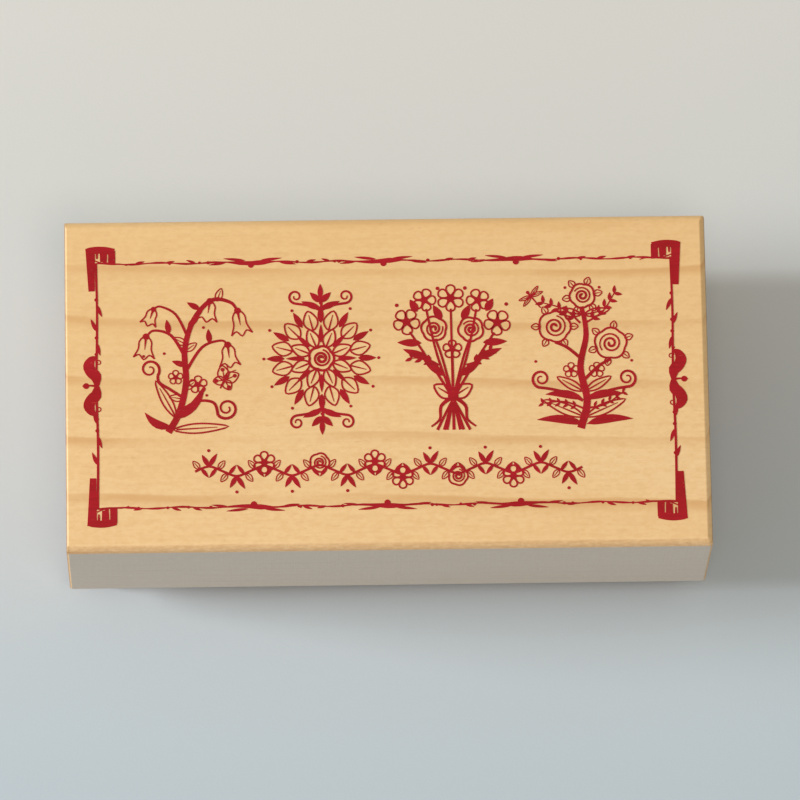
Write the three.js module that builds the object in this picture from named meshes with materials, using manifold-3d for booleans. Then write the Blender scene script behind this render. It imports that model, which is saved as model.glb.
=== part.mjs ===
// Wood-mounted craft stamp, in millimetres, +Z up.
// The stamp stands on its rubber: the origin is the centre of the printing face, X runs along
// the wood's grain, and the stack goes up from the rubber through the foam to the block.
import * as THREE from 'three';
import { mergeVertices } from 'three/addons/utils/BufferGeometryUtils.js';
import Module from 'manifold-3d';

const wasm = await Module();
wasm.setup();

// ---- Driving dimensions -------------------------------------------------------------------

// Hardwood block
const blockLength = 75;
const blockWidth = 40;
const blockHeight = 18;
const longEdgeEase = 1.0; // sanded off both top edges that run along the grain
const endEdgeEase = 0.5; // sanded off the top edges of the cut ends

// What is glued under the block
const stackInset = 1.5; // from the block's sides in to the foam and the rubber
const cushionThickness = 3.0;
const adhesiveThickness = 0.15;
const adhesiveInset = 0.25; // the film stops this far inside the foam's edge
const dieBaseThickness = 1.1;
const dieCornerRadius = 2.0;

// The raised printing image
const reliefHeight = 1.0;
const reliefRoot = 0.3; // how far the relief reaches into the base it is moulded with
const frameEndInset = 2.2; // from the die's short sides in to the frame line
const frameSideInset = 4.0; // from the die's long sides in to the frame line
const frameLineWidth = 0.5;
const frameSwellLength = 7.0;
const frameSwellWidth = 1.1;
const sideKnotLength = 7.0;
const sideKnotWidth = 1.7;
const scrollRadius = 1.35;
const scrollTail = 3.2; // how far a corner curl runs down beside the frame line
const scrollLineWidth = 0.75;
const garlandHeight = 4.0;
const garlandLength = 45;
const garlandGap = 2.0; // frame line to garland
const motifGap = 2.4; // garland to motifs
const motifTopGap = 2.7; // motifs to frame line
const motifEndGap = 4.35; // frame line to the first and the last motif
const motifCount = 4;

// The size at which the motifs below are drawn
const drawnMotifHeight = 17.9;
const drawnMotifWidth = 13.0;

// ---- Sizes that follow --------------------------------------------------------------------

const dieLength = blockLength - 2 * stackInset;
const dieWidth = blockWidth - 2 * stackInset;
const frameLength = dieLength - 2 * frameEndInset;
const frameWidth = dieWidth - 2 * frameSideInset;

const reliefTop = reliefHeight;
const lowerAdhesiveBottom = reliefTop + dieBaseThickness;
const cushionBottom = lowerAdhesiveBottom + adhesiveThickness;
const upperAdhesiveBottom = cushionBottom + cushionThickness;
const blockBottom = upperAdhesiveBottom + adhesiveThickness;

const garlandY = -frameWidth / 2 + garlandGap + garlandHeight / 2;
const motifHeight = frameWidth - garlandGap - garlandHeight - motifGap - motifTopGap;
const motifY = frameWidth / 2 - motifTopGap - motifHeight / 2;
const motifRowLength = frameLength - 2 * motifEndGap - drawnMotifWidth;
const motifPitch = motifRowLength / (motifCount - 1);
const motifScale = Math.min(motifHeight / drawnMotifHeight, motifPitch / drawnMotifWidth);
const motifX = (index) => motifPitch * (index - (motifCount - 1) / 2);

// ---- Solids -------------------------------------------------------------------------------

function toSolid(geometry) {
  const bare = geometry.clone();
  bare.deleteAttribute('normal');
  bare.deleteAttribute('uv');
  const merged = mergeVertices(bare, 1e-5);
  return new wasm.Manifold(new wasm.Mesh({
    numProp: 3,
    vertProperties: new Float32Array(merged.attributes.position.array),
    triVerts: new Uint32Array(merged.index.array),
  }));
}

function toGeometry(solid) {
  const mesh = solid.getMesh();
  const geometry = new THREE.BufferGeometry();
  geometry.setAttribute('position', new THREE.BufferAttribute(mesh.vertProperties, 3));
  geometry.setIndex(new THREE.BufferAttribute(mesh.triVerts, 1));
  geometry.computeVertexNormals();
  return geometry;
}

function piece(name, geometry, color, roughness) {
  const material = new THREE.MeshStandardMaterial({ color, roughness, metalness: 0 });
  const mesh = new THREE.Mesh(geometry, material);
  mesh.name = name;
  return mesh;
}

function slab(shape, thickness) {
  return new THREE.ExtrudeGeometry(shape, {
    depth: thickness,
    bevelEnabled: false,
    curveSegments: 5,
  });
}

// ---- Wood block ---------------------------------------------------------------------------

// A rectangle standing on its base, with its two top corners eased in two flats
function easedOutline(width, height, ease) {
  const half = width / 2;
  const outline = new THREE.Shape();
  outline.moveTo(-half, 0);
  outline.lineTo(half, 0);
  outline.lineTo(half, height - ease);
  outline.lineTo(half - ease * 0.35, height - ease * 0.35);
  outline.lineTo(half - ease, height);
  outline.lineTo(-half + ease, height);
  outline.lineTo(-half + ease * 0.35, height - ease * 0.35);
  outline.lineTo(-half, height - ease);
  outline.closePath();
  return outline;
}

function makeBlock() {
  // What is left of the long edges, drawn across the grain and run along it
  const alongGrain = slab(easedOutline(blockWidth, blockHeight, longEdgeEase), blockLength + 2);
  alongGrain.translate(0, 0, -blockLength / 2 - 1);
  alongGrain.rotateX(Math.PI / 2);
  alongGrain.rotateZ(Math.PI / 2);
  // What is left of the cut ends, drawn along the grain and run across it
  const acrossGrain = slab(easedOutline(blockLength, blockHeight, endEdgeEase), blockWidth + 2);
  acrossGrain.translate(0, 0, -blockWidth / 2 - 1);
  acrossGrain.rotateX(Math.PI / 2);
  const block = toSolid(alongGrain).intersect(toSolid(acrossGrain));
  return toGeometry(block.translate([0, 0, blockBottom]));
}

// ---- Foam, adhesive and the rubber's base ---------------------------------------------------

function roundedRectangle(length, width, radius) {
  const x = length / 2;
  const y = width / 2;
  const outline = new THREE.Shape();
  outline.moveTo(-x + radius, -y);
  outline.lineTo(x - radius, -y);
  outline.absarc(x - radius, -y + radius, radius, -Math.PI / 2, 0);
  outline.lineTo(x, y - radius);
  outline.absarc(x - radius, y - radius, radius, 0, Math.PI / 2);
  outline.lineTo(-x + radius, y);
  outline.absarc(-x + radius, y - radius, radius, Math.PI / 2, Math.PI);
  outline.lineTo(-x, -y + radius);
  outline.absarc(-x + radius, -y + radius, radius, Math.PI, 1.5 * Math.PI);
  return outline;
}

function makeSheet(inset, bottom, thickness) {
  const length = dieLength - 2 * inset;
  const width = dieWidth - 2 * inset;
  const sheet = slab(roundedRectangle(length, width, dieCornerRadius - inset), thickness);
  sheet.translate(0, 0, bottom);
  return sheet;
}

// ---- Flat shapes that the image is drawn with ----------------------------------------------

function leaf(x, y, degrees, length, width) {
  const outline = new THREE.Shape();
  outline.moveTo(0, 0);
  outline.quadraticCurveTo(length * 0.4, width, length, 0);
  outline.quadraticCurveTo(length * 0.4, -width, 0, 0);
  return { outline, x, y, turn: THREE.MathUtils.degToRad(degrees) };
}

function blossom(x, y, radius, petals = 5) {
  const outline = new THREE.Shape();
  const steps = petals * 4;
  for (let step = 0; step < steps; step += 1) {
    const angle = (2 * Math.PI * step) / steps;
    const reach = radius * (0.78 + 0.22 * Math.cos(petals * angle));
    const corner = [reach * Math.cos(angle), reach * Math.sin(angle)];
    if (step === 0) outline.moveTo(...corner);
    else outline.lineTo(...corner);
  }
  outline.closePath();
  return { outline, x, y, turn: Math.PI / 2 };
}

function berry(x, y, radius) {
  return blossom(x, y, radius, 2);
}

// A line that runs smoothly through the given points and tapers from one width to another
function stem(points, startWidth, endWidth, steps = 8) {
  const curve = new THREE.CatmullRomCurve3(points.map(([x, y]) => new THREE.Vector3(x, y, 0)));
  const left = [];
  const right = [];
  for (let step = 0; step <= steps; step += 1) {
    const share = step / steps;
    const at = curve.getPoint(share);
    const along = curve.getTangent(share);
    const half = THREE.MathUtils.lerp(startWidth, endWidth, share) / 2;
    left.push(new THREE.Vector2(at.x - along.y * half, at.y + along.x * half));
    right.unshift(new THREE.Vector2(at.x + along.y * half, at.y - along.x * half));
  }
  return { outline: new THREE.Shape([...left, ...right]), x: 0, y: 0, turn: 0 };
}

// ---- The image ------------------------------------------------------------------------------

// A bellflower: an arching stalk with hanging bells and two long leaves at its foot
function bellflower() {
  return [
    stem([[-1.4, -8.6], [-0.4, -4], [-0.8, 1], [0.4, 5.6], [3, 8], [5.6, 6.4]], 1.1, 0.45, 12),
    stem([[-0.7, -0.5], [-3, 2.6], [-5.2, 2]], 0.5, 0.35, 6),
    stem([[-0.6, 2.6], [2, 4.4], [3.8, 3]], 0.5, 0.35, 6),
    leaf(-1.1, -7.4, 132, 7.2, 2.0),
    leaf(-1.0, -6.8, 40, 8.0, 2.1),
    leaf(-1.2, -8.2, 12, 6.6, 1.7),
    leaf(-5.2, 2.6, -88, 3.2, 2.2),
    leaf(3.9, 3.6, -88, 3.2, 2.2),
    leaf(5.7, 7.2, -86, 3.4, 2.4),
    leaf(0.2, 5.4, 140, 3.6, 1.5),
  ];
}

// A ring of leaves and small flowers round one open flower
function medallion() {
  const across = 6.4;
  const up = 8.0;
  const shapes = [blossom(0, 0, 3.4, 8)];
  const ringPoints = [];
  const stations = 20;
  for (let station = 0; station <= stations; station += 1) {
    const angle = (2 * Math.PI * station) / stations;
    ringPoints.push([across * Math.cos(angle), up * Math.sin(angle)]);
  }
  shapes.push(stem(ringPoints.slice(0, stations / 2 + 2), 0.8, 0.8, 20));
  shapes.push(stem(ringPoints.slice(stations / 2), 0.8, 0.8, 20));
  for (let station = 0; station < stations; station += 1) {
    const [x, y] = ringPoints[station];
    const angle = THREE.MathUtils.radToDeg(Math.atan2(y, x));
    if (station % 5 === 0) shapes.push(blossom(x, y, 1.5));
    else shapes.push(leaf(x, y, angle + (station % 2 ? 60 : 200), 2.2, 0.9));
  }
  return shapes;
}

// A bunch of cut flowers whose stalks cross at a tied bow
function bouquet() {
  const heads = [[-5.4, 4.6], [-2.9, 6.9], [0, 3.8], [2.9, 6.9], [5.4, 4.6]];
  const shapes = [];
  for (const [x, y] of heads) {
    shapes.push(stem([[-x * 0.35, -8.6], [0, -4.6], [x, y]], 0.6, 0.5, 6));
    shapes.push(blossom(x, y, 1.9));
  }
  for (const side of [-1, 1]) {
    shapes.push(leaf(0, -4.6, 90 - side * 66, 3.4, 1.9));
    shapes.push(leaf(side * 2.6, -0.4, 90 - side * 58, 4.0, 1.6));
    shapes.push(leaf(side * 1.2, 0.6, 90 - side * 12, 3.4, 1.5));
  }
  return shapes;
}

// A rose bush: one upright stem, leaves on both sides and three roses
function roseBush() {
  const shapes = [
    stem([[0, -8.6], [0.4, -3], [-0.4, 3], [0, 7.4]], 1.2, 0.6, 8),
    blossom(0, 7.2, 1.8, 6),
    blossom(-3.4, 2.2, 2.2, 6),
    blossom(3.4, 0.4, 2.2, 6),
    stem([[-0.2, -1.4], [-1.8, 0.6], [-3.4, 2.2]], 0.5, 0.5, 4),
    stem([[0.1, -3.2], [1.9, -1.4], [3.4, 0.4]], 0.5, 0.5, 4),
  ];
  const leafRows = [[-8.2, 10, 6], [-6.4, 34, 5], [-4.2, 16, 4.4], [3.6, 22, 5.4]];
  for (const side of [-1, 1]) {
    for (const [y, lift, length] of leafRows) {
      shapes.push(leaf(0, y, 90 - side * (90 - lift), length, 1.6));
    }
  }
  return shapes;
}

// A waving sprig with leaves above and below it, and a flower in its middle
function garland() {
  const waves = 6;
  const waveLength = garlandLength / waves;
  const rise = garlandHeight * 0.12;
  const points = [];
  for (let quarter = 0; quarter <= waves * 4; quarter += 1) {
    const x = -garlandLength / 2 + (quarter * waveLength) / 4;
    points.push([x, rise * Math.sin((quarter * Math.PI) / 2)]);
  }
  const shapes = [stem(points, 0.45, 0.45, waves * 4), blossom(0, 0, garlandHeight * 0.45)];
  for (let half = 0; half < waves * 2; half += 1) {
    const x = -garlandLength / 2 + ((half + 0.25) * waveLength) / 2;
    const side = half % 2 ? -1 : 1;
    if (Math.abs(x + 1) > garlandHeight * 0.7) {
      shapes.push(leaf(x, side * rise * 0.6, side * 48, garlandHeight * 0.55, 0.95));
    }
  }
  return shapes;
}

function frame() {
  const x = frameLength / 2;
  const y = frameWidth / 2;
  const half = frameLineWidth / 2;
  const band = roundedRectangle(frameLength + frameLineWidth, frameWidth + frameLineWidth, half);
  const opening = roundedRectangle(frameLength - frameLineWidth, frameWidth - frameLineWidth, half);
  band.holes.push(opening);
  const shapes = [{ outline: band, x: 0, y: 0, turn: 0 }];
  for (const side of [-1, 1]) {
    for (const place of [-1, 0, 1]) {
      const start = place * motifPitch - frameSwellLength / 2;
      shapes.push(leaf(start, side * y, 0, frameSwellLength, frameSwellWidth));
    }
    shapes.push(leaf(side * x, -sideKnotLength / 2, 90, sideKnotLength, sideKnotWidth));
    shapes.push(berry(side * x, sideKnotLength / 2, sideKnotWidth / 2));
    shapes.push(berry(side * x, -sideKnotLength / 2, sideKnotWidth / 2));
    for (const end of [-1, 1]) {
      shapes.push(cornerScroll(side * x, end * y, side, end));
    }
  }
  return shapes;
}

// A curl that climbs beside the frame's end line, rounds the corner and rolls in on itself.
// It is drawn for the corner at +X +Y and mirrored to the others by side and end.
function cornerScroll(x, y, side, end) {
  const bends = 9;
  const outside = scrollRadius * 0.75;
  const points = [[outside, -scrollTail]];
  for (let bend = 0; bend <= bends; bend += 1) {
    const angle = (1.5 * Math.PI * bend) / bends;
    const reach = scrollRadius * (1 - 0.03 * bend);
    points.push([outside - scrollRadius + reach * Math.cos(angle), reach * Math.sin(angle)]);
  }
  const placed = points.map(([across, up]) => [x + side * across, y + end * up]);
  return stem(placed, scrollLineWidth, scrollLineWidth, 14);
}

// Stands one flat shape up as relief, from the printing face into the die's base
function raise({ outline, x, y, turn }, scale, offsetX, offsetY) {
  const ridge = slab(outline, reliefHeight + reliefRoot);
  ridge.rotateZ(turn);
  ridge.translate(x, y, 0);
  ridge.scale(scale, scale, 1);
  ridge.translate(offsetX, offsetY, 0);
  return toSolid(ridge);
}

function makeDie() {
  let die = toSolid(makeSheet(0, reliefTop, dieBaseThickness));
  const motifs = [bellflower(), medallion(), bouquet(), roseBush()];
  motifs.forEach((shapes, index) => {
    for (const shape of shapes) {
      die = die.add(raise(shape, motifScale, motifX(index), motifY));
    }
  });
  for (const shape of garland()) die = die.add(raise(shape, 1, 0, garlandY));
  for (const shape of frame()) die = die.add(raise(shape, 1, 0, 0));
  return toGeometry(die);
}

// ---- Assembly -------------------------------------------------------------------------------

const stamp = new THREE.Group();
stamp.add(piece('wood_block', makeBlock(), 0xebc289, 0.6));
stamp.add(piece(
  'upper_adhesive',
  makeSheet(adhesiveInset, upperAdhesiveBottom, adhesiveThickness),
  0xe6e2d4,
  0.4,
));
stamp.add(piece('foam_cushion', makeSheet(0, cushionBottom, cushionThickness), 0xd9d8d2, 0.9));
stamp.add(piece(
  'lower_adhesive',
  makeSheet(adhesiveInset, lowerAdhesiveBottom, adhesiveThickness),
  0xe6e2d4,
  0.4,
));
stamp.add(piece('rubber_die', makeDie(), 0xa5564a, 0.75));

export default stamp;
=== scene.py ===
# %% [markdown]
# # A wood-mounted rubber stamp
# A craft stamp is a glued stack: a block of pale maple to hold, a sheet of foam that lets the
# rubber follow the paper, and a moulded rubber die with the picture raised on its underside.
# The same picture is printed in crimson ink on the top of the wood, so that the stamp can be
# told from its neighbours on a shelf. The place and the outer size of every layer come from the
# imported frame, and each visible piece is modelled to fit them, in metres.

# %% Load the frame
import math
import bpy
from mathutils import Vector, Matrix, noise


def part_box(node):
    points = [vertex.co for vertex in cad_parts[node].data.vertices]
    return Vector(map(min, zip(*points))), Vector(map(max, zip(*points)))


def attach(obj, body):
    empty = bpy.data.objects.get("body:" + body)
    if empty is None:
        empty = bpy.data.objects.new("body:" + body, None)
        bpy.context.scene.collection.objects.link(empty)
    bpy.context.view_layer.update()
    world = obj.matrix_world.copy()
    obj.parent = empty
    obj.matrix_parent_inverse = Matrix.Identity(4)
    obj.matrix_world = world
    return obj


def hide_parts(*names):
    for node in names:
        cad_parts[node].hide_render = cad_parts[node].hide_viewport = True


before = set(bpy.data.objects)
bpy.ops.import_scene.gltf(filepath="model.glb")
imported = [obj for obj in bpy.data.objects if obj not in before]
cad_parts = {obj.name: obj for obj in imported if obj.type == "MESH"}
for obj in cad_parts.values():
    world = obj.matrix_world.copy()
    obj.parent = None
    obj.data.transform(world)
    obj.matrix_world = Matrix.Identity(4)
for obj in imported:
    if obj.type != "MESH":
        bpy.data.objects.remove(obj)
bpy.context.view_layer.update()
MM = 0.001
print("frame nodes:", sorted(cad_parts))


# %% [markdown]
# ## Camera
# The view looks steeply down on the top from just left of the front, through a very long lens,
# so the block's sides stay almost parallel. The camera is placed by turning a line of sight
# about the block's top, and then leaning the picture a little.

# %% Camera
VIEW_AZIMUTH = math.radians(-4.45)
VIEW_ELEVATION = math.radians(75.0)
VIEW_LEAN = math.radians(3.58)
VIEW_DISTANCE = 0.9377
LENS_MM = 361.8
LOOK_ASIDE = 1.50 * MM
LOOK_DOWN = 1.85 * MM
EASE = 1.0 * MM

wood_low, wood_high = (Vector(corner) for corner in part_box("wood_block"))


def place_camera():
    flat = math.cos(VIEW_ELEVATION)
    back = Vector((
        math.sin(VIEW_AZIMUTH) * flat,
        -math.cos(VIEW_AZIMUTH) * flat,
        math.sin(VIEW_ELEVATION),
    ))
    level = Vector((0, 0, 1)).cross(back).normalized()
    upright = back.cross(level)
    right = math.cos(VIEW_LEAN) * level + math.sin(VIEW_LEAN) * upright
    up = back.cross(right)
    target = Vector((0, 0, wood_high.z - EASE)) + LOOK_ASIDE * right - LOOK_DOWN * up
    bpy.ops.object.camera_add(location=target + VIEW_DISTANCE * back)
    camera = bpy.context.object
    camera.name = "camera"
    camera.rotation_euler = Matrix((right, up, back)).transposed().to_euler()
    camera.data.lens = LENS_MM
    camera.data.clip_start = 0.01
    camera.data.clip_end = 20
    bpy.context.scene.camera = camera
    return camera


camera = place_camera()
print("camera at", [round(v, 3) for v in camera.location])


# %% [markdown]
# ## Light
# A soft lamp stands low on the left, far enough off to light the whole top evenly, so that the
# shade runs away to the right. A second one hangs high and a little to the front, a weak cool
# one shines almost level on the front face, and an even sky fills the rest. The picture is shown
# without a film curve (Standard), which would dull the wood's bright yellow.

# %% Lights
def soft_lamp(name, place, aim, size, watts, colour):
    bpy.ops.object.light_add(type="AREA", location=place)
    lamp = bpy.context.object
    lamp.name = name
    lamp.data.shape = "DISK"
    lamp.data.size = size
    lamp.data.energy = watts
    lamp.data.color = colour
    lamp.rotation_euler = (Vector(place) - Vector(aim)).to_track_quat("Z", "Y").to_euler()
    return lamp


TOP_CENTRE = (0, 0, wood_high.z)
soft_lamp("side_lamp", (-1.49, 0.04, 0.597), TOP_CENTRE, 0.52, 32.0, (0.93, 1.0, 1.08))
soft_lamp("overhead_lamp", (0.05, -0.28, 0.865), TOP_CENTRE, 0.30, 1.45, (1.06, 1.0, 0.94))
soft_lamp("cool_front_lamp", (0, -0.9, 0.10), TOP_CENTRE, 0.40, 1.0, (0.25, 0.39, 0.93))

world = bpy.data.worlds.new("studio_sky")
bpy.context.scene.world = world
world.use_nodes = True
sky = world.node_tree.nodes["Background"]
sky.inputs["Color"].default_value = (0.97, 1.0, 0.95, 1)
sky.inputs["Strength"].default_value = 0.38
bpy.context.scene.view_settings.view_transform = "Standard"


# %% [markdown]
# ## Building with nodes
# Every finish below is a graph of shader nodes. A few helpers each stand for one idea: a sum, a
# soft step, a mixture of two colours, a noise. All patterns are measured in millimetres on the
# piece itself, so they stay on it when the camera moves.

# %% Node helpers
def new_material(name):
    material = bpy.data.materials.new(name)
    material.use_nodes = True
    shader = material.node_tree.nodes["Principled BSDF"]
    return material, material.node_tree, shader


def add(tree, kind, **values):
    """A node of that kind, with its sockets and settings given by name."""
    node = tree.nodes.new("ShaderNode" + kind)
    for key, value in values.items():
        socket = node.inputs.get(key.replace("_", " "))
        if socket is not None:
            socket.default_value = value
        else:
            setattr(node, key, value)
    return node


def maths(tree, operation, *terms):
    """One sum on numbers or on other nodes' outputs; gives its output."""
    node = tree.nodes.new("ShaderNodeMath")
    node.operation = operation
    for slot, term in enumerate(terms):
        if isinstance(term, (int, float)):
            node.inputs[slot].default_value = term
        else:
            tree.links.new(term, node.inputs[slot])
    return node.outputs[0]


def fade(tree, source, low, high, bottom=0.0, top=1.0):
    """Spreads the stretch low..high of a number over bottom..top, softly at both ends."""
    node = tree.nodes.new("ShaderNodeMapRange")
    node.interpolation_type = "SMOOTHSTEP"
    tree.links.new(source, node.inputs["Value"])
    node.inputs["From Min"].default_value = low
    node.inputs["From Max"].default_value = high
    node.inputs["To Min"].default_value = bottom
    node.inputs["To Max"].default_value = top
    return node.outputs["Result"]


def blend(tree, amount, first, second, kind="MIX"):
    """Mixes two colours, given as colours or as other nodes' outputs."""
    node = tree.nodes.new("ShaderNodeMix")
    node.data_type = "RGBA"
    node.blend_type = kind
    for socket, value in ((node.inputs[0], amount), (node.inputs[6], first), (node.inputs[7], second)):
        if isinstance(value, (int, float)):
            socket.default_value = value
        elif isinstance(value, tuple):
            socket.default_value = (*value, 1)
        else:
            tree.links.new(value, socket)
    return node.outputs[2]


def tint(tree, colour, pattern, low, high, most, second):
    """Lays a second colour over the first where the pattern is high, by at most that share."""
    return blend(tree, fade(tree, pattern, low, high, 0.0, most), colour, second)


def place_in_mm(tree, scale=(1, 1, 1), centre=(0, 0, 0)):
    """The point on the piece in millimetres, measured from centre and stretched by scale."""
    where = tree.nodes.new("ShaderNodeTexCoord")
    mapping = tree.nodes.new("ShaderNodeMapping")
    mapping.inputs["Scale"].default_value = [1000 * s for s in scale]
    mapping.inputs["Location"].default_value = [-1000 * s * c for s, c in zip(scale, centre)]
    tree.links.new(where.outputs["Object"], mapping.inputs["Vector"])
    return mapping.outputs[0]


def split_in_mm(tree):
    """A node whose X, Y and Z outputs are the point on the piece in millimetres."""
    split = tree.nodes.new("ShaderNodeSeparateXYZ")
    tree.links.new(place_in_mm(tree), split.inputs[0])
    return split


def noise_of(tree, vector, scale, detail=2.0, roughness=0.5):
    node = add(tree, "TexNoise", Scale=scale, Detail=detail, Roughness=roughness)
    tree.links.new(vector, node.inputs["Vector"])
    return node.outputs["Fac"]


def grain(tree, stretch, detail=2.0, roughness=0.5):
    """Noise drawn out by stretch: the smaller the number, the longer along that axis."""
    return noise_of(tree, place_in_mm(tree, stretch), 1.0, detail, roughness)


def bump(tree, shader, height, depth_mm):
    node = tree.nodes.new("ShaderNodeBump")
    node.inputs["Distance"].default_value = depth_mm * MM
    tree.links.new(height, node.inputs["Height"])
    tree.links.new(node.outputs["Normal"], shader.inputs["Normal"])
    return node


def srgb(red, green, blue):
    """A colour as seen on a screen, 0 to 255, turned into the light it stands for."""
    def linear(value):
        value /= 255
        return value / 12.92 if value <= 0.04045 else ((value + 0.055) / 1.055) ** 2.4
    return tuple(linear(value) for value in (red, green, blue))


print("mid grey as light:", [round(value, 3) for value in srgb(128, 128, 128)])


# %% [markdown]
# ## Table
# The stamp stands on plain card without gloss, only a faint tooth, so one flat plane is enough.
# Its colour is painted light: cool and darker at the front, warm and lighter at the back.
# It belongs to the stage and not to the stamp.

# %% Table
def table_finish():
    material, tree, shader = new_material("table_card")
    tooth = noise_of(tree, place_in_mm(tree), 3.0, 4.0)
    split = split_in_mm(tree)
    # Painted light: cool darker grey at the front to warm lighter grey at the back.
    depth = fade(tree, split.outputs["Y"], -75, 75)
    colour = blend(tree, depth, srgb(187, 196, 200), srgb(220, 214, 204))
    tree.links.new(colour, shader.inputs["Base Color"])
    shader.inputs["Roughness"].default_value = 0.6
    shader.inputs["Specular IOR Level"].default_value = 0.0
    bump(tree, shader, tooth, 0.01)
    return material


bpy.ops.mesh.primitive_plane_add(size=3, location=(0, 0, 0))
table = bpy.context.object
table.name = "table"
table.data.materials.append(table_finish())
print("table stands at height", table.location.z)


# %% [markdown]
# ## Modelling helpers
# Each piece is modelled with Blender's own tools, as by hand: add a body, choose edges, bevel
# or cut them. These helpers do the hand's part in between: let go of everything, name a new
# body and fix its size, and pick edges by where they lie.

# %% Modelling helpers
def deselect_all():
    if bpy.context.mode != "OBJECT":
        bpy.ops.object.mode_set(mode="OBJECT")
    bpy.ops.object.select_all(action="DESELECT")


def start_piece(name):
    piece = bpy.context.object
    piece.name = name
    piece.data.name = name
    bpy.ops.object.transform_apply(location=True, rotation=True, scale=True)
    return piece


def select_edges(piece, wanted):
    """In edit mode, selects the edges whose two ends wanted() accepts."""
    bpy.ops.object.mode_set(mode="EDIT")
    bpy.ops.mesh.select_mode(type="EDGE")
    bpy.ops.mesh.select_all(action="DESELECT")
    bpy.ops.object.mode_set(mode="OBJECT")
    corners = piece.data.vertices
    for edge in piece.data.edges:
        edge.select = wanted(*(corners[v].co for v in edge.vertices))
    bpy.ops.object.mode_set(mode="EDIT")


# %% [markdown]
# ## Maple
# The block was sawn almost flat across the tree, so the yearly rings, which are thin cylinders
# round a heart far below, cross the top as long thin lines about seven millimetres apart. The
# rings are worked out in three dimensions: on the ends the same rings show as slanting stripes,
# as they do on real timber. Fibres, short dark flecks and slow changes of colour lie over them.
# The ends, where the pores are cut across, are darker; on the left end that darker colour also
# runs up the eased edge, as painted shade against the lamp. The long sides are sawn rough, and
# their colour is mixed most of the way to pale grey: partly paler sawn wood, partly painted
# shade for the cool shade they stand in. The front top edge was sanded, and it and the front face
# are a little browner: partly sanding, partly painted shade.

# %% Maple
RING_HEART = (0.0, -112.0, -255.0)
RING_SPACING = 2.62
FIBRE_STRETCH = (0.12, 2.6, 2.6)


def ring_lines(tree, along):
    """How far a point is inside the dark line of a yearly ring, 0 to 1."""
    centred = place_in_mm(tree, (0.0, 1, 1), [c * MM for c in RING_HEART])
    reach = tree.nodes.new("ShaderNodeVectorMath")
    reach.operation = "LENGTH"
    tree.links.new(centred, reach.inputs[0])
    sway = grain(tree, (0.016, 0.03, 0.03), 2.0)
    grown = maths(tree, "ADD", reach.outputs["Value"], maths(tree, "MULTIPLY", sway, 2.2))
    grown = maths(tree, "ADD", grown, maths(tree, "MULTIPLY", along, 0.004))
    phase = maths(tree, "FRACT", maths(tree, "DIVIDE", grown, RING_SPACING))
    late = fade(tree, phase, 0.6, 0.97)
    early = fade(tree, phase, 0.0, 0.05, 1.0, 0.0)
    line = maths(tree, "MAXIMUM", maths(tree, "POWER", late, 5.0), early)
    patch = noise_of(tree, place_in_mm(tree, (0.035, 0.14, 0.14), (4 * MM, 9 * MM, 2 * MM)), 1.0, 2.0)
    return maths(tree, "MULTIPLY", line, fade(tree, patch, 0.38, 0.66, 0.15, 1.0))


def pale_wood(tree, across, fibre, fleck):
    """The wood between the ring lines, with its clouds, fibres and flecks."""
    warmer = fade(tree, across, -18, 14)
    pale = blend(tree, warmer, srgb(246, 204, 148), srgb(242, 197, 136))
    cloud = noise_of(tree, place_in_mm(tree, (0.02, 0.09, 0.09), (9 * MM, 1 * MM, 5 * MM)), 1.0, 3.0)
    pale = tint(tree, pale, cloud, 0.35, 0.65, 0.55, srgb(240, 192, 130))
    pale = tint(tree, pale, fibre, 0.35, 0.75, 0.3, srgb(228, 180, 120))
    mottle = grain(tree, (0.5, 1.1, 1.1), 2.0, 0.6)
    pale = tint(tree, pale, mottle, 0.5, 0.75, 0.3, srgb(226, 178, 118))
    speck = grain(tree, (1.3, 2.2, 2.2), 3.0, 0.6)
    pale = tint(tree, pale, speck, 0.38, 0.66, 0.3, srgb(226, 176, 112))
    return tint(tree, pale, fleck, 0.62, 0.74, 0.22, srgb(203, 150, 96))


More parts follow.
